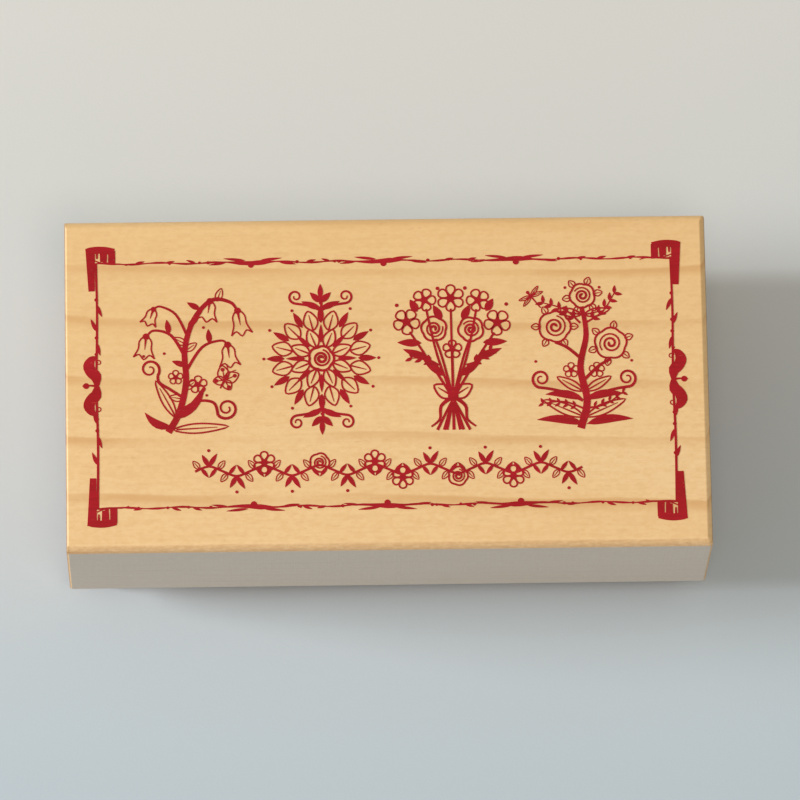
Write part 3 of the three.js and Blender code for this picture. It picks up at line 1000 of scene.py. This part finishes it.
# %% Welding
def weld(first, second):
    """Joins two solids into one; the second is used up."""
    join = first.modifiers.new("weld", "BOOLEAN")
    join.operation = "UNION"
    join.solver = "MANIFOLD"
    join.object = second
    bpy.context.view_layer.objects.active = first
    bpy.ops.object.modifier_apply(modifier=join.name)
    bpy.data.objects.remove(second, do_unlink=True)
    return first


def weld_all(solids):
    """Welds neighbours two by two until one solid is left."""
    while len(solids) > 1:
        pairs = [weld(a, b) for a, b in zip(solids[0::2], solids[1::2])]
        solids = pairs + (solids[-1:] if len(solids) % 2 else [])
    return solids[0]


def weld_loose(ribbons):
    """Takes a mesh of separate closed ribbons apart and welds them back as one solid."""
    deselect_all()
    bpy.context.view_layer.objects.active = ribbons
    ribbons.select_set(True)
    bpy.ops.mesh.separate(type="LOOSE")
    loose = sorted(bpy.context.selected_objects, key=lambda o: o.name)
    return weld_all(loose)


def draw_solid(name, face, root, spread=0.0):
    """The whole picture as one solid between two heights."""
    nib = make_nib()
    plants = [weld_loose(ribbons_of(name + "_" + part, strokes, nib, face, root, spread))
              for part, strokes in picture.items()]
    bpy.data.objects.remove(nib, do_unlink=True)
    solid = weld_all(plants)
    solid.name = name
    solid.data.name = name
    solid.data.materials.clear()
    return solid


print("heights to draw between:", [round(z / MM, 2) for z in (wood_high.z - 2 * INK_FILM, wood_high.z)])


# %% [markdown]
# ## Printed picture
# The ink lies on the wood and in its grain, so the film here stands three hundredths of a
# millimetre proud of the block and goes as deep into it. It shares the maple's fibres: where
# they are dark the ink is darker, and tiny gaps in it look like wood between the fibres.

# %% Ink
def index_ink():
    material, tree, shader = new_material("crimson_ink")
    fibre = grain(tree, FIBRE_STRETCH, 3.0, 0.6)
    cover = grain(tree, (1.5, 6, 3), 2.0, 0.6)
    cloud = noise_of(tree, place_in_mm(tree), 0.25, 2.0)
    colour = blend(tree, fade(tree, cloud, 0.3, 0.7), srgb(164, 9, 16), srgb(176, 15, 28))
    colour = tint(tree, colour, fibre, 0.4, 0.75, 0.5, srgb(144, 9, 12))
    colour = tint(tree, colour, cover, 0.66, 0.78, 0.6, srgb(206, 92, 62))
    tree.links.new(colour, shader.inputs["Base Color"])
    shader.inputs["Roughness"].default_value = 0.7
    shader.inputs["Specular IOR Level"].default_value = 0.25
    bump(tree, shader, fibre, 0.01)
    return material


index_print = draw_solid("index_print", wood_high.z, wood_high.z - 2 * INK_FILM)
index_print.data.materials.append(index_ink())
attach(index_print, "root")
print("ink faces:", len(index_print.data.polygons))


# %% [markdown]
# ## Cut sheets
# Foam, sticky film and rubber are all cut from sheet. A knife never leaves a perfect side: the
# cut wanders by a few hundredths of a millimetre, and soft foam is squeezed as it is cut, so its
# side ends up slightly hollow. Each sheet starts as a cube of its own size with rounded upright
# corners, is bisected into small faces, and its side is then pushed in by that much.

# %% Cut sheet
CORNER_SEGMENTS = 6
WANDER_SCALE = 260


def slice_up(piece, axis, levels):
    """Cuts the mesh through at each level along an axis, without removing anything."""
    normal = tuple(int(axis == k) for k in range(3))
    bpy.context.view_layer.objects.active = piece
    bpy.ops.object.mode_set(mode="EDIT")
    for level in levels:
        bpy.ops.mesh.select_all(action="SELECT")
        bpy.ops.mesh.bisect(plane_co=tuple(level * n for n in normal), plane_no=normal)
    bpy.ops.object.mode_set(mode="OBJECT")


def cut_sheet(name, node, radius, rows, hollow, wander, step=2.4 * MM):
    """A sheet of the node's size: hollow is the most its side draws in, wander the knife's slip."""
    low, high = (Vector(corner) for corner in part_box(node))
    deselect_all()
    bpy.ops.mesh.primitive_cube_add(size=1, location=(low + high) / 2, scale=high - low)
    sheet = start_piece(name)
    select_edges(sheet, lambda a, b: abs(a.z - b.z) > 1e-6)
    bpy.ops.mesh.bevel(offset=radius, segments=CORNER_SEGMENTS)
    for axis in (0, 1):
        span = high[axis] - low[axis] - 2 * radius
        count = round(span / step)
        slice_up(sheet, axis, [low[axis] + radius + span * k / count for k in range(1, count)])
    slice_up(sheet, 2, [low.z + (high.z - low.z) * k / rows for k in range(1, rows)])
    middle_z, half_z = (low.z + high.z) / 2, (high.z - low.z) / 2
    for point in sheet.data.vertices:
        inside = Vector((
            min(max(point.co.x, low.x + radius), high.x - radius),
            min(max(point.co.y, low.y + radius), high.y - radius),
            point.co.z,
        ))
        outward = point.co - inside
        if outward.length > radius * 0.999:
            level = (point.co.z - middle_z) / half_z
            waver = 0.5 + 0.5 * noise.noise(point.co * WANDER_SCALE)
            push = hollow * (1 - level * level) + wander * waver
            point.co -= outward.normalized() * push
    bpy.ops.object.shade_smooth_by_angle(angle=math.radians(35))
    return sheet


print("sheets to cut:", [node for node in sorted(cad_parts) if node != "wood_block"])


# %% [markdown]
# ## Foam
# Between the wood and the rubber lies three millimetres of closed-cell foam. It gives a little,
# so that every line of the picture reaches the paper. Its faces are glued flat, and only the
# cut side shows, where the bubbles are sliced open: a Voronoi pattern gives each bubble its
# own small pit, and paints the bottom of each pit darker as painted shade.

# %% Foam
FOAM_CELL = 0.28


def foam_finish():
    material, tree, shader = new_material("cut_foam")
    cells = add(tree, "TexVoronoi", Scale=1 / FOAM_CELL, Randomness=1.0)
    tree.links.new(place_in_mm(tree), cells.inputs["Vector"])
    pit_and_shade = fade(tree, cells.outputs["Distance"], 0.05, 0.62)
    fine = noise_of(tree, place_in_mm(tree), 6.0, 3.0, 0.6)
    cloud = noise_of(tree, place_in_mm(tree), 0.12, 2.0)
    # Painted shade: the colour is darker at the bottom of each pit.
    colour = blend(tree, pit_and_shade, srgb(174, 175, 173), srgb(192, 192, 188))
    colour = tint(tree, colour, cloud, 0.35, 0.65, 0.4, srgb(181, 180, 175))
    colour = tint(tree, colour, fine, 0.55, 0.75, 0.3, srgb(160, 160, 157))
    tree.links.new(colour, shader.inputs["Base Color"])
    tree.links.new(fade(tree, fine, 0.3, 0.7, 0.78, 0.92), shader.inputs["Roughness"])
    shader.inputs["Sheen Weight"].default_value = 0.15
    bump(tree, shader, maths(tree, "ADD", pit_and_shade, maths(tree, "MULTIPLY", fine, 0.3)), 0.06)
    return material


foam_sheet = cut_sheet("foam_sheet", "foam_cushion", 0.5 * MM, 8, 0.22 * MM, 0.08 * MM)
foam_sheet.data.materials.append(foam_finish())
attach(foam_sheet, "root")
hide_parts("foam_cushion")
print("foam faces:", len(foam_sheet.data.polygons))


# %% [markdown]
# ## Sticky films
# A double-sided film holds the foam to the wood, and another holds the rubber to the foam. It
# is thinner than card and shows only as a fine amber line along the stack's side.

# %% Films
def film_finish():
    material, tree, shader = new_material("adhesive_film")
    cloud = noise_of(tree, place_in_mm(tree), 0.4, 3.0)
    dust = noise_of(tree, place_in_mm(tree), 5.0, 3.0, 0.7)
    colour = blend(tree, fade(tree, cloud, 0.3, 0.7), srgb(214, 196, 152), srgb(226, 212, 176))
    colour = tint(tree, colour, dust, 0.6, 0.75, 0.5, srgb(170, 156, 130))
    tree.links.new(colour, shader.inputs["Base Color"])
    tree.links.new(fade(tree, dust, 0.4, 0.7, 0.22, 0.5), shader.inputs["Roughness"])
    shader.inputs["Transmission Weight"].default_value = 0.2
    bump(tree, shader, dust, 0.01)
    return material


film_material = film_finish()
for node in ("upper_adhesive", "lower_adhesive"):
    film = cut_sheet(node + "_film", node, 0.5 * MM, 2, 0.02 * MM, 0.05 * MM)
    film.data.materials.append(film_material)
    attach(film, "root")
    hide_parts(node)
    print(film.name, "faces:", len(film.data.polygons))


# %% [markdown]
# ## Rubber die
# The die is moulded in one piece: a base sheet, and the picture standing one millimetre proud of
# it. Each line is wider at its root than at its face, as every moulded relief is, because the
# rubber has to leave its mould and the fine lines need a foot to stand on. So the same strokes
# are drawn again with a spreading root, from the printing face up into the base, and welded to
# the base sheet.

# %% Rubber
RELIEF_SPREAD = 0.16 * MM
WELD_DEPTH = 0.03 * MM
die_low, die_high = (Vector(corner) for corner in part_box("rubber_die"))
DIE_BASE = 1.1 * MM


def rubber_finish():
    material, tree, shader = new_material("brick_rubber")
    split = split_in_mm(tree)
    cloud = noise_of(tree, place_in_mm(tree), 0.15, 3.0)
    grit = noise_of(tree, place_in_mm(tree), 9.0, 3.0, 0.6)
    bloom = noise_of(tree, place_in_mm(tree), 0.8, 4.0, 0.65)
    colour = blend(tree, fade(tree, cloud, 0.3, 0.7), srgb(150, 66, 54), srgb(164, 76, 62))
    colour = tint(tree, colour, grit, 0.58, 0.78, 0.4, srgb(120, 48, 40))
    off_face = fade(tree, split.outputs["Z"], 0.3, 1.0)
    dusty = maths(tree, "MULTIPLY", fade(tree, bloom, 0.45, 0.7), off_face)
    colour = blend(tree, maths(tree, "MULTIPLY", dusty, 0.14), colour, srgb(206, 168, 156))
    tree.links.new(colour, shader.inputs["Base Color"])
    face = fade(tree, split.outputs["Z"], 0.02, 0.2)
    worn = fade(tree, grit, 0.3, 0.7, 0.46, 0.56)
    rough = maths(tree, "ADD", maths(tree, "MULTIPLY", face, 0.16), worn)
    tree.links.new(rough, shader.inputs["Roughness"])
    shader.inputs["Specular IOR Level"].default_value = 0.4
    bump(tree, shader, grit, 0.03)
    return material


def model_die():
    base = cut_sheet("die_base", "rubber_die", 2.0 * MM, 2, 0.0, 0.05 * MM)
    for point in base.data.vertices:
        point.co.z = max(point.co.z, die_high.z - DIE_BASE)
    relief = draw_solid("relief", die_low.z, die_high.z - DIE_BASE + WELD_DEPTH, RELIEF_SPREAD)
    die = weld(base, relief)
    die.name = "moulded_die"
    die.data.name = "moulded_die"
    return die


moulded_die = model_die()
moulded_die.data.materials.clear()
moulded_die.data.materials.append(rubber_finish())
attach(moulded_die, "root")
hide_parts("rubber_die")
print("die faces:", len(moulded_die.data.polygons))
